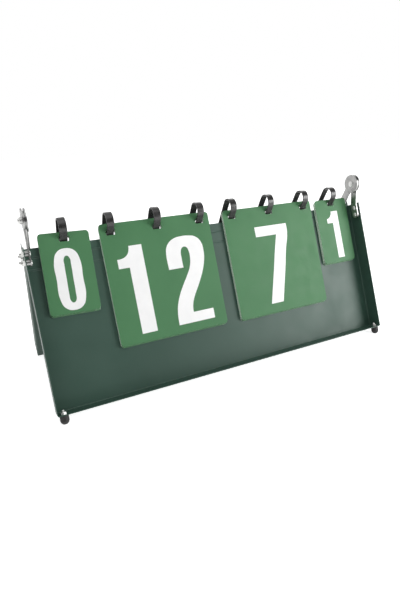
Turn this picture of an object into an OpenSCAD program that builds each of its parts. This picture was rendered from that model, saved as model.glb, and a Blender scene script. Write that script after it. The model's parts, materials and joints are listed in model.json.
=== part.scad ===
// Tabletop flip scoreboard. Two shallow sheet-steel trays are hinged together at the top, stand as
// an A-frame and fold face to face into a flat case. Oval rings carry four sets of number cards.
// Each tray is drawn in its own frame: the hinge axis is the X axis, the tray hangs below it along
// -Z, its rim lies at Y = 0 and its panel on the +Y side. The open stand tips it about the axis.
// The origin of the whole is on the table, under the middle of the hinge axis. The front is at -Y.

/* [Trays] */
// Width of each tray over its side flanges
case_w = 586; // [520:1:640]
// Height of the front tray from its top edge to the underside of its bottom flange
tray_h = 232; // [215:1:260]
// Depth of each tray from the face of its panel to its rim
tray_d = 25; // [24.5:0.5:28]
// Thickness of the steel sheet
sheet_t = 1; // [0.8:0.1:1.3]
// Outside radius of the folded edges
bend_r = 2.5; // [1.8:0.1:4]
// Space between each rim and the plane of the hinge axis when the case is shut
rim_gap = 0.3; // [0.2:0.1:0.6]
// Angle of each tray from the vertical when the stand is open
lean = 24.2; // [23.5:0.1:26]
// Depth of the two grooves pressed across the front panel
groove_depth = 0.6; // [0.2:0.05:0.6]
// Radius of the tool that pressed the grooves
groove_r = 2.6; // [2:0.1:4]
// Distance of the first groove below the top edge of the front panel
groove_first = 13.2; // [10:0.1:15]
// Distance from the first groove to the second
groove_pitch = 17.2; // [12:0.1:25]

/* [Hinges] */
// Height of the hinge axis above the top edge of the front tray
pin_rise = 34.5; // [34:0.5:36]
// Radius of the round head of each hinge arm
arm_head_r = 16; // [12:0.5:17]
// Width of the straight part of each hinge arm
arm_w = 13.4; // [12:0.1:13.8]
// Thickness of the hinge arms
arm_t = 2; // [1.5:0.1:2.2]
// Gap between the side flange and the front arm, filled by the front spacers
arm_inset = 4.5; // [3:0.1:6]
// Gap between the front arm and the rear arm
arm_gap = 1.9; // [1.9:0.1:3]
// Running gap on either side of the rear arm
side_play = 0.2; // [0.1:0.05:0.3]
// Radius of the hinge pin
pin_r = 3; // [2:0.1:4]
// Running clearance between the hinge pin and the rear arm's hole, on the radius
pin_fit = 0.05; // [0.02:0.01:0.1]
// Radius of the heads at both ends of the hinge pin
pin_head_r = 5; // [4.5:0.1:7]
// Thickness of the hinge pin's inner head
pin_head_in = 1; // [0.6:0.1:1.2]
// Length of the hinge pin's outer head
pin_head_out = 5.4; // [2:0.1:6]
// Distance of the front bolts behind the rim
bolt_back = 6.9; // [6.5:0.1:8]
// Distance of the upper front bolt below the top edge of the tray
front_bolt_drop = 9; // [8:0.1:10]
// Distance of the upper rear bolt below the hinge axis
rear_bolt_drop = 56; // [54:0.5:60]
// Distance between the two bolts of an arm
bolt_pitch = 12; // [10:0.1:16]
// Metal left below the lower bolt of an arm
arm_end = 6; // [5.5:0.1:10]
// Radius of the bolts, and of the screws that hold the feet
bolt_r = 2; // [1.5:0.1:2.5]
// Clearance of the bolts in their holes, on the radius
bolt_fit = 0.1; // [0.05:0.01:0.2]
// Radius of the bolt heads
bolt_head_r = 3.6; // [3:0.1:4.2]
// Thickness of the bolt heads
bolt_head_t = 1.6; // [1:0.1:1.6]
// Length of thread that stands out of each nut
bolt_tail = 3; // [1:0.1:5]
// Width of the nuts across their corners
nut_w = 8.2; // [7:0.1:9]
// Thickness of the nuts
nut_t = 3.2; // [2:0.1:4]
// Outside radius of the spacers
spacer_r = 4.4; // [3.5:0.1:4.5]

/* [Feet] */
// Radius of the rubber feet
foot_r = 6.25; // [5:0.05:6.4]
// Length of the rubber feet
foot_len = 13; // [11:0.5:20]
// Distance of each foot's axis from the outer face of the side flange
foot_inset = 8.8; // [8:0.1:20]
// Distance of each foot's axis behind the plane of the rim
foot_back = 6.7; // [6.7:0.1:12]
// Depth of the worn flat on which each foot stands
foot_flat = 0.4; // [0.2:0.05:0.8]
// Length of each foot's screw inside the rubber
foot_screw_len = 6; // [4:0.5:7]

/* [Rings] */
// Width of the ring strap along the hinge axis
ring_w = 11; // [8:0.5:11.5]
// Thickness of the ring strap
ring_t = 2; // [1.5:0.1:2.4]
// Radius of the two arcs of the oval ring, to the middle of the strap
ring_r = 12; // [11.6:0.1:12.2]
// Distance between the centres of the two arcs
ring_len = 44; // [38:0.5:46]
// Slope of the ring from upper arc to lower arc, below square to the front panel
ring_slope = 40; // [39:0.5:41]
// Distance of the upper arc's centre in front of the face of the front panel
ring_out = 6.9; // [6.5:0.1:7.2]
// Height of the upper arc's centre above the top edge of the front panel
ring_up = 23.5; // [23:0.1:23.8]
// Clearance at each side of the strap in the panels
ring_side_gap = 1; // [0.5:0.1:2]
// Clearance under the strap in the front panel
ring_under_gap = 0.3; // [0.2:0.05:0.6]
// Clearance between the ring and the rear panel when the case folds
ring_sweep_gap = 1.5; // [1:0.1:3]

/* [Cards] */
// Height of the large cards
big_h = 182; // [150:1:195]
// Width of the small cards
small_w = 71; // [50:0.5:80]
// Height of the small cards
small_h = 115; // [90:1:150]
// Corner radius of the cards
card_corner = 5; // [3:0.5:10]
// Thickness of one card
card_t = 0.5; // [0.3:0.05:0.5]
// Air between two cards that lie in the pile
card_air = 0.1; // [0.05:0.01:0.1]
// Number of cards that lie in each pile under the card that turns
pile_count = 7; // [2:1:7]
// Space between the panel and the pile, and between the pile and the card that turns
card_gap = 0.4; // [0.3:0.05:0.5]
// Clearance of a ring hole at each side of the strap, with the card in its middle place
hole_side_gap = 1.6; // [1.4:0.1:2]
// Distance by which the cards hang to the right of the middles of their rings
card_shift = 0.5; // [0:0.1:0.8]
// Height of the ring holes in the cards
card_hole_h = 8.2; // [8:0.1:8.4]
// Corner radius of the ring holes in the cards
card_hole_r = 1.8; // [1:0.1:2]
// Distance from the top edge to the centre of the ring holes, large cards on the left
big_left_drop = 13; // [9:0.1:14]
// Distance from the top edge to the centre of the ring holes, large cards on the right
big_right_drop = 10.8; // [9:0.1:14]
// Distance from the top edge to the centre of the ring hole, small cards on the left
small_left_drop = 9.2; // [7:0.1:11]
// Distance from the top edge to the centre of the ring hole, small cards on the right
small_right_drop = 7.7; // [7:0.1:11]
// Height of a ring hole's centre above the middle of the strap, on the card that turns
hole_lift = 0.6; // [0.5:0.05:0.7]
// How much lower each card of the pile hangs than the card in front of it, down the sloping strap
hang_step = 0.36; // [0.34:0.01:0.5]
// Distance of the outer ring holes of a large card from its side edges
ring_inset = 16.75; // [10:0.25:30]
// Space between the left side flange and the small card next to it
margin_left = 21.3; // [20:0.1:30]
// Space between the right side flange and the small card next to it
margin_right = 13.9; // [13.5:0.1:20]
// Space between the small and the large card on the left
space_left = 14.85; // [8:0.05:20]
// Space between the two large cards
space_middle = 26.4; // [10:0.1:40]
// Space between the small and the large card on the right
space_right = 10.55; // [8:0.05:20]
// Angle by which the left small card hangs askew on its ring
small_left_tilt = 1.7; // [0:0.1:4]

/* [Hidden] */
$fn = 64;

steel_green = [0.27, 0.35, 0.31];
card_green = [0.32, 0.50, 0.36];
zinc = [0.70, 0.71, 0.70];
black = [0.10, 0.10, 0.10];

// Both trays end at this distance below the hinge axis
tray_end = pin_rise + tray_h;
// Height of the hinge axis above the table
foot_ball_drop = tray_end + foot_len - foot_r;
axis_h = foot_ball_drop * cos(lean) + foot_back * sin(lean) + foot_r - foot_flat;
// The backs of the two panels would meet this far below the hinge axis, so the rear panel starts
// a little lower, and its side flanges slope up to the rim from there
edge_space = 4;
rear_top = (tray_d + sheet_t) / tan(lean) + edge_space;
rear_flange_top = pin_rise + 3;

// Stations along the width, from the side flange inwards
flange_in = case_w / 2 - sheet_t;
front_arm_x = flange_in - arm_inset - arm_t;
rear_arm_x = front_arm_x - arm_gap - arm_t;
pin_in_x = rear_arm_x - side_play - pin_head_in;
nut_x = case_w / 2;

// Distances of the bolts below the hinge axis, as they stand in each arm
front_bolt_zs = [pin_rise + front_bolt_drop, pin_rise + front_bolt_drop + bolt_pitch];
rear_bolt_zs = [rear_bolt_drop, rear_bolt_drop + bolt_pitch];

// Ring outline in the plane across the hinge axis: centres of its two arcs, and the unit vector
// from a centre to the touching point of the lower straight side
arc_top = [tray_d - ring_out, ring_up - pin_rise];
arc_end = arc_top + ring_len * [cos(ring_slope), -sin(ring_slope)];
under = [-sin(ring_slope), -cos(ring_slope)];
side_start = arc_top + ring_r * under;
// Height of the strap's middle where its lower side passes at distance y
function strap_z(y) = side_start[1] - (y - side_start[0]) * tan(ring_slope);
strap_half = ring_t / 2 / cos(ring_slope);

// Cards, from the panel outwards
pile_pitch = card_t + card_air;
pile_y = tray_d - card_gap - card_t;
pile_front = pile_y - (pile_count - 1) * pile_pitch;
flip_y = pile_front - card_gap - card_t;
hole_z = strap_z(flip_y + card_t / 2) + hole_lift;

// The large cards take the width that the small cards and the spaces leave
big_w = (case_w - margin_left - margin_right - space_left - space_middle - space_right) / 2 - small_w;
small_left_x = -case_w / 2 + margin_left + small_w / 2;
small_right_x = case_w / 2 - margin_right - small_w / 2;
big_left_x = small_left_x + (small_w + big_w) / 2 + space_left;
big_right_x = small_right_x - (small_w + big_w) / 2 - space_right;
ring_pitch = big_w / 2 - ring_inset;
card_hole_w = ring_w + 2 * hole_side_gap;
// Place of every ring along the width, set by set
big_left_rings = [for (i = [-1:1]) big_left_x + i * ring_pitch];
big_right_rings = [for (i = [-1:1]) big_right_x + i * ring_pitch];
all_rings = concat([small_left_x], big_left_rings, big_right_rings, [small_right_x]);
// Reach of the rings from the hinge axis, and how far down the rear panel clears them
ring_reach = norm(arc_end) + ring_r + ring_t / 2 + ring_sweep_gap;
rear_slot_end = sqrt(ring_reach * ring_reach - tray_d * tray_d);
ring_slot_w = ring_w + 2 * ring_side_gap;
// The front arm starts to slant this far inside the edge of its round head
head_overlap = 2;
// The washers end this far inside the edge of the round heads
washer_rim = 4;
// Small overlap that lets a cut run clear of the face it starts at
past = 1;

// Frames
module front_frame() {
    translate([0, 0, axis_h]) rotate([-lean, 0, 0]) children();
}

module rear_frame() {
    mirror([0, 1, 0]) front_frame() children();
}

module both_sides() {
    children();
    mirror([1, 0, 0]) children();
}

// A flat shape drawn across the hinge axis, raised along the width from x
module across(x, thickness) {
    translate([x, 0, 0]) rotate([90, 0, 90]) linear_extrude(thickness) children();
}

// A round bar along the width, centred at y and z
module bar(x, y, z, r, len) {
    translate([x, y, z]) rotate([0, 90, 0]) cylinder(r = r, h = len);
}

module rounded_rect(w, h, r) {
    translate([0, -h / 2]) {
        square([w - 2 * r, h], center = true);
        square([w, h - 2 * r], center = true);
        for (sx = [-1, 1], sz = [-1, 1])
            translate([sx * (w / 2 - r), sz * (h / 2 - r)]) circle(r);
    }
}

// Trays
module tray_block(inset, r, top, front) {
    half = case_w / 2 - inset;
    back = tray_d + sheet_t - inset;
    end = tray_end - inset;
    intersection() {
        // seen from above: the two folded edges at the back
        translate([0, 0, -end - past]) linear_extrude(end + past - top) union() {
            translate([-half, front]) square([2 * half, back - r - front]);
            translate([-half + r, front]) square([2 * (half - r), back - front]);
            for (sx = [-1, 1]) translate([sx * (half - r), back - r]) circle(r);
        }
        // seen from the side: the folded edge at the bottom
        across(-half, 2 * half) union() {
            translate([front, -end + r]) square([back - front, end]);
            translate([front, -end]) square([back - r - front, end]);
            translate([back - r, -end + r]) circle(r);
        }
        // seen from the front: the two bottom corners
        translate([0, back, 0]) rotate([90, 0, 0]) linear_extrude(back - front) union() {
            translate([-half, -end + r]) square([2 * half, end]);
            translate([-half + r, -end]) square([2 * (half - r), end]);
            for (sx = [-1, 1]) translate([sx * (half - r), -end + r]) circle(r);
        }
    }
}

module tray_shell(top) {
    difference() {
        tray_block(0, bend_r, top, rim_gap);
        tray_block(sheet_t, bend_r - sheet_t, top - past, rim_gap - past);
    }
}

// Holes for the bolts of both hinge arms and the screws of both feet
module tray_holes(bolt_zs) {
    both_sides() {
        for (z = bolt_zs) bar(flange_in - past, bolt_back, -z, bolt_r + bolt_fit, sheet_t + 2 * past);
        translate([case_w / 2 - foot_inset, foot_back, -tray_end - past])
            cylinder(r = bolt_r + bolt_fit, h = sheet_t + 2 * past);
    }
}

module front_tray() {
    slot_bottom = strap_z(tray_d + sheet_t) - strap_half - ring_under_gap;
    color(steel_green) front_frame() difference() {
        tray_shell(pin_rise);
        tray_holes(front_bolt_zs);
        for (x = all_rings)
            translate([x - ring_slot_w / 2, tray_d - past, slot_bottom])
                cube([ring_slot_w, sheet_t + 2 * past, -pin_rise - slot_bottom + past]);
        for (drop = [groove_first, groove_first + groove_pitch])
            bar(-flange_in + bend_r, tray_d + groove_depth - groove_r, -pin_rise - drop, groove_r,
                2 * (flange_in - bend_r));
    }
}

module rear_tray() {
    back = tray_d + sheet_t;
    color(steel_green) rear_frame() difference() {
        tray_shell(rear_flange_top);
        tray_holes(rear_bolt_zs);
        across(-case_w / 2 - past, case_w + 2 * past)
            polygon([[0, 0], [0, -rear_flange_top], [back, -rear_top], [back + past, -rear_top],
                [back + past, 0]]);
        for (x = all_rings)
            translate([x - ring_slot_w / 2, tray_d - past, -rear_slot_end])
                cube([ring_slot_w, sheet_t + 2 * past, rear_slot_end]);
    }
}

module two_foot_places() {
    both_sides() translate([case_w / 2 - foot_inset, foot_back, -tray_end]) children();
}

// Feet, with the flat on which they stand
module foot() {
    difference() {
        rotate_extrude() {
            square([foot_r, foot_len - foot_r]);
            translate([0, foot_len - foot_r]) intersection() {
                circle(foot_r);
                square(foot_r);
            }
        }
        translate([0, 0, -past]) cylinder(r = bolt_r, h = foot_screw_len + past);
    }
}

module two_feet() {
    two_foot_places() rotate([180, 0, 0]) foot();
}

module above_table() {
    intersection() {
        children();
        translate([-case_w, -case_w, 0]) cube(2 * case_w);
    }
}

module front_feet() {
    color(black) above_table() front_frame() two_feet();
}

module rear_feet() {
    color(black) above_table() rear_frame() two_feet();
}

module foot_screws() {
    color(zinc) two_foot_places() translate([0, 0, -foot_screw_len])
        cylinder(r = bolt_r, h = foot_screw_len + sheet_t + nut_t + bolt_tail);
}

module foot_nuts() {
    color(zinc) two_foot_places() translate([0, 0, sheet_t]) difference() {
        cylinder(d = nut_w, h = nut_t, $fn = 6);
        translate([0, 0, -past]) cylinder(r = bolt_r, h = nut_t + 2 * past);
    }
}

module front_foot_screws() {
    front_frame() foot_screws();
}

module rear_foot_screws() {
    rear_frame() foot_screws();
}

module front_foot_nuts() {
    front_frame() foot_nuts();
}

module rear_foot_nuts() {
    rear_frame() foot_nuts();
}

// Hinge arms. The front arm steps back behind the rim. The rear arm runs straight past the top
// edge of the front panel and steps back below it.
module arm_shape(bolt_zs, step_top, step_end, hole_r) {
    half = arm_w / 2;
    end = bolt_zs[1] + arm_end;
    difference() {
        union() {
            circle(arm_head_r);
            polygon([[-half, 0], [-half, -step_top], [bolt_back - half, -step_end],
                [bolt_back - half, -end + half], [bolt_back + half, -end + half],
                [bolt_back + half, -step_end], [half, -step_top], [half, 0]]);
            translate([bolt_back, -end + half]) circle(half);
        }
        circle(hole_r);
        for (z = bolt_zs) translate([bolt_back, -z]) circle(bolt_r + bolt_fit);
    }
}

module front_arm() {
    color(zinc) across(front_arm_x, arm_t)
        arm_shape(front_bolt_zs, arm_head_r - head_overlap, front_bolt_zs[0] - arm_w / 2, pin_r);
}

module rear_arm() {
    color(zinc) across(rear_arm_x, arm_t)
        arm_shape(rear_bolt_zs, rear_bolt_drop - arm_w, rear_bolt_drop - arm_w / 2, pin_r + pin_fit);
}

module front_arm_right() {
    front_frame() front_arm();
}

module front_arm_left() {
    mirror([1, 0, 0]) front_arm_right();
}

module rear_arm_right() {
    rear_frame() rear_arm();
}

module rear_arm_left() {
    mirror([1, 0, 0]) rear_arm_right();
}

// Hinge pins, fixed in the front arms
module hinge_pin_right() {
    color(zinc) front_frame() {
        bar(pin_in_x + pin_head_in / 2, 0, 0, pin_r, front_arm_x + arm_t - pin_in_x);
        bar(pin_in_x, 0, 0, pin_head_r, pin_head_in);
        bar(front_arm_x + arm_t, 0, 0, pin_head_r, pin_head_out);
    }
}

module hinge_pin_left() {
    mirror([1, 0, 0]) hinge_pin_right();
}

module hinge_washers() {
    color(zinc) front_frame() both_sides() {
        x = rear_arm_x + arm_t + side_play;
        difference() {
            bar(x, 0, 0, arm_head_r - washer_rim, front_arm_x - x);
            bar(x - past, 0, 0, pin_r, front_arm_x - x + 2 * past);
        }
    }
}

// Bolts, spacers and nuts that fix the arms to the side flanges
module spacers(bolt_zs, from_x) {
    color(zinc) both_sides() for (z = bolt_zs) difference() {
        bar(from_x, bolt_back, -z, spacer_r, flange_in - from_x);
        bar(from_x - past, bolt_back, -z, bolt_r + bolt_fit, flange_in - from_x + 2 * past);
    }
}

module bolts(bolt_zs, arm_x) {
    color(zinc) both_sides() for (z = bolt_zs) {
        bar(arm_x - bolt_head_t, bolt_back, -z, bolt_head_r, bolt_head_t);
        bar(arm_x - bolt_head_t / 2, bolt_back, -z, bolt_r,
            nut_x + nut_t + bolt_tail - arm_x + bolt_head_t / 2);
    }
}

module nuts(bolt_zs) {
    color(zinc) both_sides() for (z = bolt_zs) difference() {
        translate([nut_x, bolt_back, -z]) rotate([0, 90, 0]) cylinder(d = nut_w, h = nut_t, $fn = 6);
        bar(nut_x - past, bolt_back, -z, bolt_r, nut_t + 2 * past);
    }
}

module front_spacers() {
    front_frame() spacers(front_bolt_zs, front_arm_x + arm_t);
}

module rear_spacers() {
    rear_frame() spacers(rear_bolt_zs, rear_arm_x + arm_t);
}

module front_bolts() {
    front_frame() bolts(front_bolt_zs, front_arm_x);
}

module rear_bolts() {
    rear_frame() bolts(rear_bolt_zs, rear_arm_x);
}

module front_nuts() {
    front_frame() nuts(front_bolt_zs);
}

module rear_nuts() {
    rear_frame() nuts(rear_bolt_zs);
}

// Rings
module oval(r) {
    translate(arc_top) circle(r);
    translate(arc_end) circle(r);
    polygon([arc_top + r * under, arc_end + r * under, arc_end - r * under, arc_top - r * under]);
}

module rings(xs) {
    color(black) front_frame() for (x = xs) across(x - ring_w / 2, ring_w) difference() {
        oval(ring_r + ring_t / 2);
        oval(ring_r - ring_t / 2);
    }
}

module ring_small_left() {
    rings([small_left_x]);
}

module rings_big_left() {
    rings(big_left_rings);
}

module rings_big_right() {
    rings(big_right_rings);
}

module ring_small_right() {
    rings([small_right_x]);
}

// Cards. One card hangs on the rings at xs, card_shift to the right of their middle x, with its
// back at y + card_t, the centres of its holes at height z and its top edge that drop above them.
module card(w, h, drop, x, xs, y, z, tilt) {
    translate([xs[0] + card_shift, y + card_t, z]) rotate([90, tilt, 0]) linear_extrude(card_t)
        difference() {
            translate([x - xs[0], drop]) rounded_rect(w, h, card_corner);
            for (ring_x = xs) translate([ring_x - xs[0], card_hole_h / 2])
                rounded_rect(card_hole_w, card_hole_h, card_hole_r);
        }
}

module pile(w, h, drop, x, xs, tilt = 0) {
    color(card_green) front_frame() for (i = [0:pile_count - 1])
        card(w, h, drop, x, xs, pile_y - i * pile_pitch, hole_z - (pile_count - i) * hang_step, tilt);
}

module flip(w, h, drop, x, xs, tilt = 0) {
    color(card_green) front_frame() card(w, h, drop, x, xs, flip_y, hole_z, tilt);
}

module pile_small_left() {
    pile(small_w, small_h, small_left_drop, small_left_x, [small_left_x], small_left_tilt);
}

module pile_big_left() {
    pile(big_w, big_h, big_left_drop, big_left_x, big_left_rings);
}

module pile_big_right() {
    pile(big_w, big_h, big_right_drop, big_right_x, big_right_rings);
}

module pile_small_right() {
    pile(small_w, small_h, small_right_drop, small_right_x, [small_right_x]);
}

module flip_small_left() {
    flip(small_w, small_h, small_left_drop, small_left_x, [small_left_x], small_left_tilt);
}

module flip_big_left() {
    flip(big_w, big_h, big_left_drop, big_left_x, big_left_rings);
}

module flip_big_right() {
    flip(big_w, big_h, big_right_drop, big_right_x, big_right_rings);
}

module flip_small_right() {
    flip(small_w, small_h, small_right_drop, small_right_x, [small_right_x]);
}

front_tray();
rear_tray();
front_feet();
rear_feet();
front_foot_screws();
rear_foot_screws();
front_foot_nuts();
rear_foot_nuts();
front_arm_left();
front_arm_right();
rear_arm_left();
rear_arm_right();
hinge_pin_left();
hinge_pin_right();
hinge_washers();
front_spacers();
rear_spacers();
front_bolts();
rear_bolts();
front_nuts();
rear_nuts();
ring_small_left();
rings_big_left();
rings_big_right();
ring_small_right();
pile_small_left();
pile_big_left();
pile_big_right();
pile_small_right();
flip_small_left();
flip_big_left();
flip_big_right();
flip_small_right();
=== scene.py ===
import json
import math

import bmesh
import bpy
from mathutils import Matrix, Vector


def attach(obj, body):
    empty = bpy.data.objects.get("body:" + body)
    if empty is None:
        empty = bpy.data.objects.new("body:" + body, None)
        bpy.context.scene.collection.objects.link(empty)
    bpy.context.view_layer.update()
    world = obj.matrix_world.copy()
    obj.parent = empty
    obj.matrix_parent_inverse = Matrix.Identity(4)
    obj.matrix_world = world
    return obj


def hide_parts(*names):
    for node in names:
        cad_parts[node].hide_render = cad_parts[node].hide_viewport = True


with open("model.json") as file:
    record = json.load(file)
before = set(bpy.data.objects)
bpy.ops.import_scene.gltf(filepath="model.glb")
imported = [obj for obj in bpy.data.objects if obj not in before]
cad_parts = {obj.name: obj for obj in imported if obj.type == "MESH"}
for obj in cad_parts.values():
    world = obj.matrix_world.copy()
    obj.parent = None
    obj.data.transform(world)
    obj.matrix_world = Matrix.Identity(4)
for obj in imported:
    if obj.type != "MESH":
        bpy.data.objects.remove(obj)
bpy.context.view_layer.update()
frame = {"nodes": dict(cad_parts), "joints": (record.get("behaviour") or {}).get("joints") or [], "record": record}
print("frame loaded:", len(frame["nodes"]), "nodes")

scene = bpy.context.scene
mm = 0.001

# the stand as the CAD has it: each tray hangs below the hinge axis along -Z of its own frame,
# its panel on the +Y side, and the open stand tips it about the axis
stand = {"lean": math.radians(24.2), "pinRise": 34.5 * mm, "trayDepth": 25 * mm}
foldHinge = next(j for j in frame["joints"] if j["name"] == "fold_hinge")
frontTray = Matrix.Translation(foldHinge["pos_m"]) @ Matrix.Rotation(-stand["lean"], 4, "X")


# camera, light and floor
camera = {
    "place": (-0.33242, -0.62706, 0.40419),
    "turn": (65.686, 0.445, -26.2),
    "lens": 26.918,
    "sensor": 36,
    "nearest": 0.01,
}


def addCamera():
    data = bpy.data.cameras.new("camera")
    data.sensor_fit = "VERTICAL"
    data.sensor_height = camera["sensor"]
    data.lens = camera["lens"]
    data.clip_start = camera["nearest"]
    eye = bpy.data.objects.new("camera", data)
    eye.location = camera["place"]
    eye.rotation_euler = [math.radians(a) for a in camera["turn"]]
    scene.collection.objects.link(eye)
    scene.camera = eye


lampAim = Vector((0, 0, 0.13))  # the middle of the stand
softboxes = {
    "keyRight": {"place": (1.18, -0.98, 0.55), "size": (0.9, 0.8), "watts": 18},
    "overhead": {"place": (-0.2, -0.3, 1.5), "size": (1.6, 1.2), "watts": 7.2},
    "fillLeft": {"place": (-1.4, -0.9, 0.7), "size": (1.0, 1.0), "watts": 2.6},
    "backRight": {"place": (1.0, 1.3, 1.0), "size": (1.0, 0.8), "watts": 8},
}


def addSoftbox(name, box):
    data = bpy.data.lights.new(name, "AREA")
    data.shape = "RECTANGLE"
    data.size, data.size_y = box["size"]
    data.energy = box["watts"]
    lamp = bpy.data.objects.new(name, data)
    lamp.location = box["place"]
    aim = lampAim - lamp.location
    lamp.rotation_euler = aim.to_track_quat("-Z", "Y").to_euler()
    scene.collection.objects.link(lamp)


studio = {
    "ambient": 0.3, "roomDim": 0.1, "roomLit": 0.8, "roomFrom": -0.3, "roomTo": 0.5,
    "floorSize": 6.0, "floorGlow": 0.8, "floorColour": (0.85, 0.85, 0.85, 1),
    "floorRough": 0.9, "floorSpecular": 0.1,
}


def larger(tree, first, second):
    node = tree.nodes.new("ShaderNodeMath")
    node.operation = "MAXIMUM"
    tree.links.new(first, node.inputs[0])
    tree.links.new(second, node.inputs[1])
    return node.outputs[0]


def mixValues(tree, factor, first, second):
    mix = tree.nodes.new("ShaderNodeMix")
    for name, value in (("A", first), ("B", second)):
        if isinstance(value, (int, float)):
            mix.inputs[name].default_value = value
        else:
            tree.links.new(value, mix.inputs[name])
    tree.links.new(factor, mix.inputs["Factor"])
    return mix.outputs["Result"]


def addWorld():
    # white to the camera; in reflections a lit backdrop behind the stand, a dim room before it
    world = bpy.data.worlds.new("studio")
    scene.world = world
    world.use_nodes = True
    tree = world.node_tree
    background = tree.nodes["Background"]
    background.inputs["Color"].default_value = (1, 1, 1, 1)
    direction = tree.nodes.new("ShaderNodeTexCoord")
    parts = tree.nodes.new("ShaderNodeSeparateXYZ")
    tree.links.new(direction.outputs["Generated"], parts.inputs[0])
    room = tree.nodes.new("ShaderNodeMapRange")
    room.interpolation_type = "SMOOTHSTEP"
    room.inputs["From Min"].default_value = studio["roomFrom"]
    room.inputs["From Max"].default_value = studio["roomTo"]
    room.inputs["To Min"].default_value = studio["roomDim"]
    room.inputs["To Max"].default_value = studio["roomLit"]
    tree.links.new(parts.outputs["Y"], room.inputs["Value"])
    path = tree.nodes.new("ShaderNodeLightPath")
    diffuse = mixValues(tree, path.outputs["Is Glossy Ray"], studio["ambient"], room.outputs[0])
    seen = larger(tree, path.outputs["Is Camera Ray"], path.outputs["Is Transmission Ray"])
    strength = mixValues(tree, seen, diffuse, 1)
    tree.links.new(strength, background.inputs["Strength"])


def meshFrom(bm, name):
    mesh = bpy.data.meshes.new(name)
    bm.to_mesh(mesh)
    bm.free()
    return mesh


def addFloor():
    # dull paper that keeps the shadow and glows to white where it is seen
    bm = bmesh.new()
    bmesh.ops.create_grid(bm, x_segments=1, y_segments=1, size=studio["floorSize"] / 2)
    mesh = meshFrom(bm, "floor")
    floor = bpy.data.objects.new("floor", mesh)
    scene.collection.objects.link(floor)
    material = bpy.data.materials.new("paperFloor")
    material.use_nodes = True
    tree = material.node_tree
    shader = tree.nodes["Principled BSDF"]
    shader.inputs["Base Color"].default_value = studio["floorColour"]
    shader.inputs["Roughness"].default_value = studio["floorRough"]
    shader.inputs["Specular IOR Level"].default_value = studio["floorSpecular"]
    path = tree.nodes.new("ShaderNodeLightPath")
    seen = larger(tree, path.outputs["Is Camera Ray"], path.outputs["Is Transmission Ray"])
    seen = larger(tree, seen, path.outputs["Is Glossy Ray"])
    glow = tree.nodes.new("ShaderNodeEmission")
    strength = tree.nodes.new("ShaderNodeMath")
    strength.operation = "MULTIPLY"
    strength.inputs[1].default_value = studio["floorGlow"]
    tree.links.new(seen, strength.inputs[0])
    tree.links.new(strength.outputs[0], glow.inputs["Strength"])
    both = tree.nodes.new("ShaderNodeAddShader")
    tree.links.new(shader.outputs[0], both.inputs[0])
    tree.links.new(glow.outputs[0], both.inputs[1])
    tree.links.new(both.outputs[0], tree.nodes["Material Output"].inputs["Surface"])
    mesh.materials.append(material)


addCamera()
for boxName, box in softboxes.items():
    addSoftbox(boxName, box)
addWorld()
addFloor()
scene.view_settings.view_transform = "Standard"
print("camera, light and floor ready")


# materials
def newMaterial(name):
    material = bpy.data.materials.new(name)
    material.use_nodes = True
    return material, material.node_tree, material.node_tree.nodes["Principled BSDF"]


def noiseAt(tree, scale, detail, stretch=(1, 1, 1)):
    place = tree.nodes.new("ShaderNodeTexCoord")
    mapping = tree.nodes.new("ShaderNodeMapping")
    mapping.inputs["Scale"].default_value = stretch
    noise = tree.nodes.new("ShaderNodeTexNoise")
    noise.inputs["Scale"].default_value = scale
    noise.inputs["Detail"].default_value = detail
    tree.links.new(place.outputs["Object"], mapping.inputs["Vector"])
    tree.links.new(mapping.outputs[0], noise.inputs["Vector"])
    return noise.outputs["Fac"]


noiseRange = (0.3, 0.7)  # where most of a noise lies


def spread(tree, value, low, high):
    node = tree.nodes.new("ShaderNodeMapRange")
    node.inputs["From Min"].default_value, node.inputs["From Max"].default_value = noiseRange
    node.inputs["To Min"].default_value = low
    node.inputs["To Max"].default_value = high
    tree.links.new(value, node.inputs["Value"])
    return node.outputs[0]


def tint(tree, value, first, second):
    mix = tree.nodes.new("ShaderNodeMix")
    mix.data_type = "RGBA"
    mix.inputs["A"].default_value = (*first, 1)
    mix.inputs["B"].default_value = (*second, 1)
    tree.links.new(value, mix.inputs["Factor"])
    return mix.outputs["Result"]


def bumpFrom(tree, value, distance, strength):
    bump = tree.nodes.new("ShaderNodeBump")
    bump.inputs["Distance"].default_value = distance
    bump.inputs["Strength"].default_value = strength
    tree.links.new(value, bump.inputs["Height"])
    return bump.outputs[0]


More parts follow.
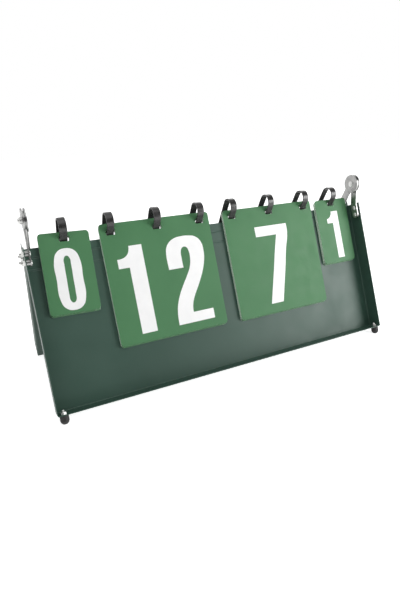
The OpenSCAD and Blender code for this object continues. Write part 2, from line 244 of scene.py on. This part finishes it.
# tones: the two colours that the first noise mixes; each noise: scale, detail and, for drawn grain,
# its stretch; grain: bump distance and strength
finishes = {
    # sprayed satin enamel: a faint orange peel, and patches where it lies a little thicker
    "satinGreenEnamel": {
        "tones": ((0.031, 0.073, 0.053), (0.038, 0.086, 0.063)), "toneNoise": (9, 4),
        "rough": (0.42, 0.52), "roughNoise": (30, 5), "specular": 0.5,
        "grain": (0.00004, 0.6), "grainNoise": (700, 2),
    },
    # zinc plating of the arms: grain drawn along the steel, and dull spots
    "zincPlate": {
        "tones": ((0.33, 0.335, 0.33), (0.46, 0.46, 0.45)), "toneNoise": (160, 6), "metallic": 1,
        "rough": (0.26, 0.44), "roughNoise": (90, 5),
        "grain": (0.00003, 0.5), "grainNoise": (900, 2, (1, 1, 0.06)),
    },
    # brighter plating of the bolts, nuts and pins
    "zincScrew": {
        "tones": ((0.66, 0.66, 0.65), (0.82, 0.82, 0.80)), "toneNoise": (160, 6), "metallic": 1,
        "rough": (0.36, 0.50), "roughNoise": (90, 5),
        "grain": (0.00003, 0.5), "grainNoise": (900, 2, (1, 1, 0.06)),
    },
    # dusty rubber
    "footRubber": {
        "tones": ((0.010, 0.010, 0.010), (0.028, 0.027, 0.026)), "toneNoise": (220, 5),
        "rough": (0.55, 0.75), "roughNoise": (120, 4),
        "grain": (0.00005, 0.5), "grainNoise": (1500, 2),
    },
    # glossy black moulding, with fine handling marks
    "ringPlastic": {
        "tones": ((0.010, 0.010, 0.010), (0.020, 0.019, 0.019)), "toneNoise": (260, 6),
        "rough": (0.24, 0.38), "roughNoise": (140, 6), "specular": 0.75,
        "grain": (0.0002, 0.35), "grainNoise": (120, 2),
    },
    # calendered green sheet: very fine grain and a slow change of tone
    "cardGreen": {
        "tones": ((0.065, 0.190, 0.083), (0.076, 0.212, 0.094)), "toneNoise": (14, 4),
        "rough": (0.46, 0.58), "roughNoise": (60, 5), "specular": 0.27,
        "grain": (0.00003, 0.4), "grainNoise": (1800, 2),
    },
    # the cut edges are painted pale green-white, a painted highlight that keeps them bright even in shade
    "cardEdgeHighlight": {
        "tones": ((0.70, 0.86, 0.72), (0.80, 0.93, 0.81)), "toneNoise": (900, 3), "plainRough": 0.6,
    },
    # opaque white screen print, a little uneven
    "whitePrint": {
        "tones": ((0.90, 0.90, 0.90), (0.95, 0.95, 0.95)), "toneNoise": (45, 5),
        "rough": (0.42, 0.55), "roughNoise": (200, 4),
        "grain": (0.00002, 0.4), "grainNoise": (2500, 2),
    },
}


def makeFinish(name):
    look = finishes[name]
    material, tree, shader = newMaterial(name)
    amount = spread(tree, noiseAt(tree, *look["toneNoise"]), 0, 1)
    tree.links.new(tint(tree, amount, *look["tones"]), shader.inputs["Base Color"])
    if "rough" in look:
        roughness = spread(tree, noiseAt(tree, *look["roughNoise"]), *look["rough"])
        tree.links.new(roughness, shader.inputs["Roughness"])
    else:
        shader.inputs["Roughness"].default_value = look["plainRough"]
    if "grain" in look:
        grain = bumpFrom(tree, noiseAt(tree, *look["grainNoise"]), *look["grain"])
        tree.links.new(grain, shader.inputs["Normal"])
    shader.inputs["Metallic"].default_value = look.get("metallic", 0)
    if "specular" in look:
        shader.inputs["Specular IOR Level"].default_value = look["specular"]
    return material


enamel = makeFinish("satinGreenEnamel")
zinc = makeFinish("zincPlate")
zincScrew = makeFinish("zincScrew")
rubber = makeFinish("footRubber")
ringPlastic = makeFinish("ringPlastic")
cardGreen = makeFinish("cardGreen")
cardEdgeHighlight = makeFinish("cardEdgeHighlight")
whitePrint = makeFinish("whitePrint")
nodeFinish = {
    "tray_paint": enamel, "zinc_steel": zinc, "foot_rubber": rubber,
    "ring_plastic": ringPlastic, "card_plastic": cardGreen,
}
for row in frame["record"]["subparts"]:
    nodeObject = frame["nodes"][row["node"]]
    nodeObject.data.materials.clear()
    nodeObject.data.materials.append(nodeFinish[row["material_slot"]])
print("materials made")


# pieces
def addPiece(name, bm, materials, body, replaced=()):
    mesh = meshFrom(bm, name)
    for material in materials:
        mesh.materials.append(material)
    piece = bpy.data.objects.new(name, mesh)
    scene.collection.objects.link(piece)
    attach(piece, body)
    if replaced:
        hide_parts(*replaced)
    return piece


def finishedMesh(piece):
    # the mesh as its modifiers leave it, with none of them left on the piece
    bpy.context.view_layer.update()
    graph = bpy.context.evaluated_depsgraph_get()
    finished = bpy.data.meshes.new_from_object(piece.evaluated_get(graph))
    piece.modifiers.clear()
    piece.data = finished
    finished.name = piece.name


def roundedSheet(bm, width, height, corner, thickness, steps):
    # a flat sheet with round corners, its top edge on Y = 0, its back on Z = 0
    spots = ((-width / 2, -height), (width / 2, -height), (width / 2, 0), (-width / 2, 0))
    corners = [bm.verts.new((x, y, 0)) for x, y in spots]
    sheet = bm.faces.new(corners)
    bmesh.ops.bevel(bm, geom=corners, offset=corner, affect="VERTICES", segments=steps,
                    profile=0.5, material=-1)
    front = bmesh.ops.extrude_face_region(bm, geom=bm.faces[:])["geom"]
    bmesh.ops.translate(bm, verts=[g for g in front if isinstance(g, bmesh.types.BMVert)],
                        vec=(0, 0, thickness))
    bmesh.ops.recalc_face_normals(bm, faces=bm.faces[:])


def joined(parts):
    whole = bmesh.new()
    for part in parts:
        mesh = meshFrom(part, "part")
        whole.from_mesh(mesh)
        bpy.data.meshes.remove(mesh)
    return whole


# rings
ring = {
    "width": 11 * mm, "thickness": 2 * mm, "edge": 0.55 * mm, "radius": 12 * mm,
    "length": 44 * mm, "slope": math.radians(40), "out": 6.9 * mm, "up": 23.5 * mm,
    "arcSteps": 36, "edgeSteps": 3,
}


def edgesAmong(geometry):
    return [g for g in geometry if isinstance(g, bmesh.types.BMEdge)]


def ringStrap(x):
    # the strap's section, carried over the upper arc, down the lower side and round the lower arc
    bm = bmesh.new()
    half, thick = ring["width"] / 2, ring["thickness"] / 2
    spots = ((-half, -thick), (half, -thick), (half, thick), (-half, thick))
    corners = [bm.verts.new((across, 0, ring["radius"] + up)) for across, up in spots]
    bm.faces.new(corners)
    bmesh.ops.bevel(bm, geom=corners, offset=ring["edge"], affect="VERTICES",
                    segments=ring["edgeSteps"], profile=0.5, material=-1)
    section = bm.edges[:]
    bmesh.ops.delete(bm, geom=bm.faces[:], context="FACES_ONLY")
    bend = {"axis": (1, 0, 0), "dvec": (0, 0, 0), "angle": math.pi, "steps": ring["arcSteps"]}
    upperArc = bmesh.ops.spin(bm, geom=section, cent=(0, 0, 0), **bend)
    last = edgesAmong(upperArc["geom_last"])
    side = bmesh.ops.extrude_edge_only(bm, edges=last)["geom"]
    moved = {g for g in side if isinstance(g, bmesh.types.BMVert)}
    bmesh.ops.translate(bm, verts=list(moved), vec=(0, ring["length"], 0))
    last = [e for e in edgesAmong(side) if moved.issuperset(e.verts)]
    lowerArc = bmesh.ops.spin(bm, geom=last, cent=(0, ring["length"], 0), **bend)
    last = edgesAmong(lowerArc["geom_last"])
    bmesh.ops.bridge_loops(bm, edges=last + section)
    bmesh.ops.recalc_face_normals(bm, faces=bm.faces[:])
    centre = Vector((x, stand["trayDepth"] - ring["out"], ring["up"] - stand["pinRise"]))
    bm.transform(frontTray @ Matrix.Translation(centre) @ Matrix.Rotation(-ring["slope"], 4, "X"))
    for face in bm.faces:
        face.smooth = True
    return bm


def addRings(name, node, places):
    piece = addPiece(name, joined([ringStrap(x * mm) for x in places]), [ringPlastic], "front_case",
                     [node])
    piece.modifiers.new("evenShading", "WEIGHTED_NORMAL").keep_sharp = False
    finishedMesh(piece)


# cards
card = {
    "thickness": 0.5 * mm, "corner": 5 * mm, "cornerSteps": 8, "softEdge": 0.08 * mm,
    "softSteps": 2, "flatNormal": 0.9,
    "slotWidth": 14.2 * mm, "slotHeight": 8.2 * mm, "slotCorner": 1.8 * mm, "shift": 0.5 * mm,
    "backOfTurning": 20.1 * mm, "holeHeight": -27.533 * mm,
    "pitch": 0.6 * mm, "gap": 0.4 * mm, "leaves": 7, "hangStep": 0.36 * mm,
}
bigSize, smallSize = (178.5 * mm, 182 * mm), (71 * mm, 115 * mm)
cardSets = {
    "small_left": {"rings": [-236.2], "size": smallSize, "drop": 9.2 * mm, "tilt": 1.7,
                   "shown": "zero", "next": "smallOne", "ringNode": "ring_small_left"},
    "big_left": {"rings": [-169.1, -96.6, -24.1], "size": bigSize, "drop": 13 * mm, "tilt": 0,
                 "shown": "twelve", "next": "thirteen", "ringNode": "rings_big_left"},
    "big_right": {"rings": [35.8, 108.3, 180.8], "size": bigSize, "drop": 10.8 * mm, "tilt": 0,
                  "shown": "seven", "next": "eight", "ringNode": "rings_big_right"},
    "small_right": {"rings": [243.6], "size": smallSize, "drop": 7.7 * mm, "tilt": 0,
                    "shown": "smallOne", "next": "smallTwo", "ringNode": "ring_small_right"},
}


def cardPlace(row, leaf):
    # leaf 0 is the card that turns; the frame's origin is in its first ring hole, on its back
    back = card["backOfTurning"]
    if leaf:
        back += card["gap"] + card["thickness"] + (leaf - 1) * card["pitch"]
    height = card["holeHeight"] - leaf * card["hangStep"]
    hole = Matrix.Translation((row["rings"][0] * mm + card["shift"], back, height))
    tilt = Matrix.Rotation(math.radians(row["tilt"]), 4, "Y")
    return frontTray @ hole @ tilt @ Matrix.Rotation(math.pi / 2, 4, "X")


def middleFromFirst(row):
    rings = row["rings"]
    return (sum(rings) / len(rings) - rings[0]) * mm


def cutSheet(row):
    # one card with its ring holes cut, flat, in the frame that cardPlace puts on the stand
    sheet, slots = bmesh.new(), []
    thickness, slotHeight, steps = card["thickness"], card["slotHeight"], card["cornerSteps"]
    roundedSheet(sheet, *row["size"], card["corner"], thickness, steps)
    bmesh.ops.translate(sheet, verts=sheet.verts[:], vec=(middleFromFirst(row), row["drop"], 0))
    for x in row["rings"]:
        # each slot's solid stands out of the sheet by its thickness, before and behind
        slot = bmesh.new()
        roundedSheet(slot, card["slotWidth"], slotHeight, card["slotCorner"], 3 * thickness, steps)
        across = (x - row["rings"][0]) * mm
        bmesh.ops.translate(slot, verts=slot.verts[:], vec=(across, slotHeight / 2, -thickness))
        slots.append(slot)
    blank = looseObject("blank", sheet)
    cutter = looseObject("cutter", joined(slots))
    cut = blank.modifiers.new("holes", "BOOLEAN")
    cut.object, cut.operation, cut.solver = cutter, "DIFFERENCE", "EXACT"
    soft = blank.modifiers.new("softEdge", "BEVEL")
    soft.width, soft.segments, soft.limit_method = card["softEdge"], card["softSteps"], "ANGLE"
    finishedMesh(blank)
    mesh = blank.data
    # faces off the flat take the second material, the pale painted edge highlight
    for polygon in mesh.polygons:
        polygon.material_index = 0 if abs(polygon.normal.z) > card["flatNormal"] else 1
    bpy.data.objects.remove(blank)
    bpy.data.objects.remove(cutter)
    return mesh


def looseObject(name, bm):
    thing = bpy.data.objects.new(name, meshFrom(bm, name))
    scene.collection.objects.link(thing)
    return thing


def placedCopy(mesh, place):
    bm = bmesh.new()
    bm.from_mesh(mesh)
    bm.transform(place)
    return bm


# numbers
# outlines in mm: x from the middle of the card, y down from its top edge, and whether the point
# is a corner ("c") or part of a curve ("s")
def shifted(outline, dx, dy, sx=1.0, sy=1.0):
    return [(x * sx + dx, y * sy + dy, kind) for x, y, kind in outline]


def mirrored(half):
    # the right half of a symmetric outline, from the top middle to the bottom middle
    return half + [(-x, y, kind) for x, y, kind in reversed(half[1:-1])]


zeroOuter = mirrored([(0, 0, "s"), (12, 4.2, "s"), (17.8, 17, "s"), (18.2, 44, "s"),
                      (17.8, 71, "s"), (12, 83.8, "s"), (0, 88, "s")])
zeroInner = mirrored([(0, 10.6, "s"), (3.6, 13.4, "s"), (4.6, 24, "s"), (4.6, 44, "s"),
                      (4.6, 64, "s"), (3.6, 74.6, "s"), (0, 77.4, "s")])
one = [(12.1, 0, "c"), (12.1, 133.2, "c"), (-12.1, 133.2, "c"), (-12.1, 32.2, "c"),
       (-28.6, 32.2, "c"), (-28.6, 18.2, "c"), (-22.6, 17.8, "s"), (-15.6, 15.4, "s"),
       (-10.8, 10.6, "s"), (-8.6, 4.6, "s"), (-8, 0, "c")]
two = [(-32, 136.2, "c"), (30.2, 136.2, "c"), (30.2, 120.4, "c"), (-4.6, 120.4, "c"),
       (-3.4, 110, "s"), (0.6, 99.2, "s"), (8.4, 86.4, "s"), (17.2, 71.8, "s"), (25.2, 56, "s"),
       (30, 42, "s"),
       (32, 27, "s"), (29.8, 12.6, "s"), (21.8, 3.6, "s"), (9.6, 0.4, "s"), (-2, 0, "s"),
       (-13, 1.4, "s"), (-22.6, 6, "s"), (-29.4, 14.6, "s"), (-31.8, 26, "s"), (-32, 37, "s"),
       (-31.6, 49, "c"), (-7.4, 49, "c"), (-7.6, 34, "s"), (-7, 24, "s"), (-4.4, 18.6, "s"),
       (-0.2, 16.8, "s"), (4, 18.6, "s"), (6.4, 24.6, "s"), (6.6, 36, "s"), (3, 50, "s"),
       (-4, 62, "s"), (-12.8, 75, "s"), (-20.6, 87.6, "s"), (-27.2, 102, "s"), (-30.8, 116, "s")]
seven = [(-33.6, 0, "c"), (30.8, 0, "c"), (30.6, 15.4, "s"), (21.6, 46, "s"), (14.4, 74, "s"),
         (6, 104, "s"), (-2, 132.6, "c"), (-26.4, 132.6, "c"), (-19.6, 109, "s"), (-10, 76, "s"),
         (-0.8, 43, "s"), (7.2, 16.8, "c"), (-33.4, 16.8, "c")]
three = [(-31.5, 36, "c"), (-30.6, 22, "s"), (-25.5, 8.6, "s"), (-14, 1.6, "s"), (0, 0, "s"),
         (14, 1.4, "s"), (26.4, 9, "s"), (31.4, 24, "s"), (31, 42, "s"), (26.6, 56, "s"),
         (16.4, 64, "s"), (27.4, 72.6, "s"), (32, 88, "s"), (31.8, 106, "s"), (26.8, 126, "s"),
         (14, 135, "s"), (0, 136.4, "s"), (-14, 135, "s"), (-26.8, 126, "s"), (-31.8, 108, "s"),
         (-32, 94, "c"), (-8, 94, "c"), (-7.6, 108, "s"), (-5, 114.8, "s"), (0, 116.8, "s"),
         (5, 114.8, "s"), (7.8, 106, "s"), (7.8, 88, "s"), (4.8, 77.6, "s"), (-3, 74.4, "s"),
         (-9, 74, "c"), (-9, 56, "c"), (-3, 55.6, "s"), (4.6, 52.4, "s"), (7.4, 43, "s"),
         (7.2, 29, "s"), (4.8, 21.8, "s"), (0, 19.6, "s"), (-4.8, 21.8, "s"), (-7.4, 29, "s"),
         (-7.6, 36, "c")]
eightOuter = mirrored([(0, 0, "s"), (17, 2.8, "s"), (28.6, 14, "s"), (31.4, 34, "s"), (28, 53, "s"),
                       (18.4, 64.4, "s"), (28.8, 75, "s"), (32.6, 96, "s"), (30, 119, "s"),
                       (18, 133.4, "s"), (0, 136.6, "s")])
eightUpper = mirrored([(0, 19.6, "s"), (5.6, 23.6, "s"), (7.6, 37, "s"), (5.6, 51, "s"),
                       (0, 55.6, "s")])
eightLower = mirrored([(0, 74.6, "s"), (6.2, 79.4, "s"), (8.6, 96, "s"), (6.2, 112.4, "s"),
                       (0, 117, "s")])
smallOne = [(12.5, 21.6, "c"), (12.8, 107.2, "c"), (-1.1, 107.2, "c"), (-1.1, 42.6, "c"),
            (-13.2, 42.6, "c"), (-13.2, 34.6, "c"), (-8.8, 33.2, "s"), (-4.8, 29.6, "s"),
            (-2.6, 25, "s"), (-2.2, 21.6, "c")]
bigTop = 34.2
numbers = {
    "zero": [shifted(zeroOuter, -0.9, 23), shifted(zeroInner, -0.9, 23)],
    "twelve": [shifted(one, -42.1, bigTop + 2.2), shifted(two, 38.1, bigTop - 1)],
    "thirteen": [shifted(one, -42.1, bigTop + 2.2), shifted(three, 38.1, bigTop - 1)],
    "seven": [shifted(seven, -0.5, bigTop)],
    "eight": [shifted(eightOuter, -0.5, bigTop - 3.2), shifted(eightUpper, -0.5, bigTop - 3.2),
              shifted(eightLower, -0.5, bigTop - 3.2)],
    "smallOne": [shifted(smallOne, -0.5, 0.7)],
    "smallTwo": [shifted(two, -0.5, 21.7, 0.58, 0.632)],
}
printed = {"thickness": 0.03 * mm, "curveSteps": 6}


def numberMesh(name):
    # the number as a flat filled curve, made a mesh, lying on Z = 0 and facing +Z
    curve = bpy.data.curves.new(name, "CURVE")
    curve.dimensions = "2D"
    curve.fill_mode = "BOTH"
    curve.resolution_u = printed["curveSteps"]
    curve.extrude = printed["thickness"] / 2
    for outline in numbers[name]:
        spline = curve.splines.new("BEZIER")
        spline.bezier_points.add(len(outline) - 1)
        spline.use_cyclic_u = True
        for point, (x, y, kind) in zip(spline.bezier_points, outline):
            point.co = (x * mm, -y * mm, 0)
            handle = "VECTOR" if kind == "c" else "AUTO"
            point.handle_left_type = point.handle_right_type = handle
    thing = bpy.data.objects.new(name, curve)
    scene.collection.objects.link(thing)
    bpy.context.view_layer.update()
    graph = bpy.context.evaluated_depsgraph_get()
    mesh = bpy.data.meshes.new_from_object(thing.evaluated_get(graph))
    bpy.data.objects.remove(thing)
    bpy.data.curves.remove(curve)
    bm = bmesh.new()
    bm.from_mesh(mesh)
    bmesh.ops.remove_doubles(bm, verts=bm.verts[:], dist=0.001 * mm)
    bmesh.ops.translate(bm, verts=bm.verts[:], vec=(0, 0, printed["thickness"] / 2))
    bm.to_mesh(mesh)
    bm.free()
    return mesh


def addNumber(name, row, leaf, number, body, onBack=False):
    height = 0 if onBack else card["thickness"]
    place = cardPlace(row, leaf) @ Matrix.Translation((middleFromFirst(row), row["drop"], height))
    if onBack:
        place = place @ Matrix.Rotation(math.pi, 4, "Y")
    addPiece(name, placedCopy(numberMesh(number), place), [whitePrint], body)


for setName, row in cardSets.items():
    addRings("straps_" + setName, row["ringNode"], row["rings"])
    sheet = cutSheet(row)
    addPiece("card_" + setName, placedCopy(sheet, cardPlace(row, 0)), [cardGreen, cardEdgeHighlight],
             "card_" + setName, ["flip_" + setName])
    leaves = joined([placedCopy(sheet, cardPlace(row, leaf + 1)) for leaf in range(card["leaves"])])
    addPiece("leaves_" + setName, leaves, [cardGreen, cardEdgeHighlight], "front_case",
             ["pile_" + setName])
    addNumber("number_" + setName, row, 0, row["shown"], "card_" + setName)
    addNumber("back_number_" + setName, row, 0, row["next"], "card_" + setName, onBack=True)
    addNumber("next_number_" + setName, row, 1, row["next"], "front_case")
print("rings, cards and numbers made")


# hinge hardware
# all in mm, across the stand from its middle, drops below the hinge axis
rearTray = Matrix.Diagonal((1, -1, 1, 1)) @ frontTray
fastened = {
    "front": {"armFace": 285.5, "drops": (43.5, 55.5), "tray": frontTray},
    "rear": {"armFace": 281.6, "drops": (56, 68), "tray": rearTray},
}
bolt = {
    "back": 6.9, "radius": 2, "headRadius": 3.6, "headHeight": 1.6, "tail": 3, "pitch": 0.75,
    "threadDepth": 0.3, "tip": 0.5, "crossLength": 4.4, "crossWidth": 1.0, "crossDepth": 0.9,
    "crossTurn": 0.6,
    # the round top of the head: depth below its crown, and radius there
    "crown": ((0, 0), (0, 1.4), (0.15, 2.4), (0.5, 3.1), (0.95, 3.5)), "rim": (0.2, 0.1),
}
nut = {"outerFace": 293, "corner": 4.1, "height": 3.2, "chamfer": 0.5, "hole": 2.02, "facets": 48}
pin = {
    "inner": 280.4, "innerHead": 1.0, "armOut": 287.5, "radius": 3, "headRadius": 5, "facets": 40,
    # both heads, inwards to outwards: distance along the pin and radius
    "innerEdge": ((0, 0), (0, 3.9), (0.15, 4.6), (0.5, 5)),
    "outerEdge": ((0, 5), (2.6, 5), (3.1, 4.6), (3.2, 3.6), (4.5, 3.5), (5.15, 2.9), (5.4, 1.8),
                  (5.4, 0)),
}
footScrew = {"across": 284.2, "back": 6.7, "drop": 266.5, "shank": 6, "sheet": 1}


def spunSolid(profile, steps=32):
    # a solid of revolution from (along, radius) points in mm, both ends on the axis
    bm = bmesh.new()
    points = [bm.verts.new((along * mm, 0, radius * mm)) for along, radius in profile]
    outline = [bm.edges.new(pair) for pair in zip(points, points[1:])]
    bmesh.ops.spin(bm, geom=outline, cent=(0, 0, 0), axis=(1, 0, 0), dvec=(0, 0, 0),
                   angle=2 * math.pi, steps=steps, use_merge=True)
    bmesh.ops.remove_doubles(bm, verts=bm.verts[:], dist=0.002 * mm)
    bmesh.ops.recalc_face_normals(bm, faces=bm.faces[:])
    return bm


def boxSolid(centre, size, turn=0.0):
    bm = bmesh.new()
    bmesh.ops.create_cube(bm, size=1)
    bm.transform(Matrix.Rotation(turn, 4, "X") @ Matrix.Translation([c * mm for c in centre])
                 @ Matrix.Diagonal([*(s * mm for s in size), 1]))
    return bm


def shaped(bm, changes):
    # the mesh of a solid after Boolean changes, each an operation and another solid
    body = looseObject("body", bm)
    others = []
    for operation, other in changes:
        others.append(looseObject("other", other))
        change = body.modifiers.new("change", "BOOLEAN")
        change.operation, change.object, change.solver = operation, others[-1], "EXACT"
    finishedMesh(body)
    mesh = body.data
    for thing in [body] + others:
        bpy.data.objects.remove(thing)
    return mesh


def thread(start):
    # the outline of a tail from start to its end
    radius, pitch = bolt["radius"], bolt["pitch"]
    end = start + bolt["tail"]
    profile = [(start, radius)]
    for turn in range(int((bolt["tail"] - bolt["tip"]) / pitch)):
        profile += [(start + (turn + 0.5) * pitch, radius - bolt["threadDepth"]),
                    (start + (turn + 1) * pitch, radius)]
    return profile + [(end, radius - bolt["tip"]), (end, 0)]


def boltMesh(reach):
    # the head before X = 0, the threaded tail past reach
    head, edge = bolt["headHeight"], bolt["headRadius"]
    crown = [(depth - head, radius) for depth, radius in bolt["crown"]]
    rim = [(-bolt["rim"][0], edge), (0, edge - bolt["rim"][1]), (0, bolt["radius"])]
    profile = crown + rim + thread(reach)
    size = (2 * bolt["crossDepth"], bolt["crossWidth"], bolt["crossLength"])
    bars = [boxSolid((-head, 0, 0), size, bolt["crossTurn"] + turn) for turn in (0, math.pi / 2)]
    return shaped(spunSolid(profile), [("DIFFERENCE", bar) for bar in bars])


clear = 0.1  # mm that a cutting solid stands out of what it cuts


def nutMesh():
    height, corner, chamfer = nut["height"], nut["corner"], nut["chamfer"]
    prism = bmesh.new()
    bmesh.ops.create_cone(prism, cap_ends=True, segments=6, depth=height * mm,
                          radius1=corner * mm, radius2=corner * mm)
    middle = Matrix.Translation((height / 2 * mm, 0, 0))
    prism.transform(middle @ Matrix.Rotation(math.pi / 2, 4, "Y"))
    low, high, wide = -clear, height + clear, corner + clear
    outline = [(low, 0), (low, corner - chamfer), (chamfer / 2, wide),
               (height - chamfer / 2, wide), (high, corner - chamfer), (high, 0)]
    dome = spunSolid(outline, nut["facets"])
    hole = spunSolid([(low, 0), (low, nut["hole"]), (high, nut["hole"]), (high, 0)])
    return shaped(prism, [("INTERSECT", dome), ("DIFFERENCE", hole)])


def footScrewMesh():
    # X along the screw, from the rubber through the sheet and its nut
    shank, top = footScrew["shank"], footScrew["sheet"] + nut["height"]
    return meshFrom(spunSolid([(-shank, 0), (-shank, bolt["radius"]), *thread(top)]), "footScrew")


def pinSolid():
    inner, face, radius = pin["inner"], pin["armOut"], pin["radius"]
    arm = inner + pin["innerHead"]
    innerHead = [(inner + along, edge) for along, edge in pin["innerEdge"]]
    shank = [(arm, pin["headRadius"]), (arm, radius), (face, radius)]
    outerHead = [(face + along, edge) for along, edge in pin["outerEdge"]]
    return spunSolid(innerHead + shank + outerHead, pin["facets"])


sharpEdge = math.radians(30)


def addHardware(name, node, body, tray, solids):
    bm = joined(solids)
    bm.transform(tray)
    bmesh.ops.recalc_face_normals(bm, faces=bm.faces[:])
    for edge in bm.edges:
        edge.smooth = len(edge.link_faces) == 2 and edge.calc_face_angle() < sharpEdge
    for face in bm.faces:
        face.smooth = True
    addPiece(name, bm, [zincScrew], body, [node])


upright = Matrix.Rotation(-math.pi / 2, 4, "Y")


def onBothSides(mesh, places, turn=Matrix()):
    # the turned mesh at each place on the right of a tray, and its mirror image on the left
    copies = []
    for place in places:
        right = Matrix.Translation([c * mm for c in place]) @ turn
        left = Matrix.Diagonal((-1, 1, 1, 1)) @ right
        copies += [placedCopy(mesh, right), placedCopy(mesh, left)]
    return copies


for side, row in fastened.items():
    body, tray = side + "_case", row["tray"]
    reach = nut["outerFace"] + nut["height"] - row["armFace"]
    heads = [(row["armFace"], bolt["back"], -drop) for drop in row["drops"]]
    faces = [(nut["outerFace"], bolt["back"], -drop) for drop in row["drops"]]
    foot = (footScrew["across"], footScrew["back"], -footScrew["drop"])
    sole = (*foot[:2], foot[2] + footScrew["sheet"])
    addHardware("screws_" + side, side + "_bolts", body, tray, onBothSides(boltMesh(reach), heads))
    addHardware("hexagons_" + side, side + "_nuts", body, tray, onBothSides(nutMesh(), faces))
    addHardware("foot_screws_" + side, side + "_foot_screws", body, tray,
                onBothSides(footScrewMesh(), [foot], upright))
    addHardware("foot_hexagons_" + side, side + "_foot_nuts", body, tray,
                onBothSides(nutMesh(), [sole], upright))
for side, turn in (("right", 1), ("left", -1)):
    addHardware("axle_" + side, "hinge_pin_" + side, "front_case",
                frontTray @ Matrix.Diagonal((turn, 1, 1, 1)), [pinSolid()])
print("hinge hardware made")
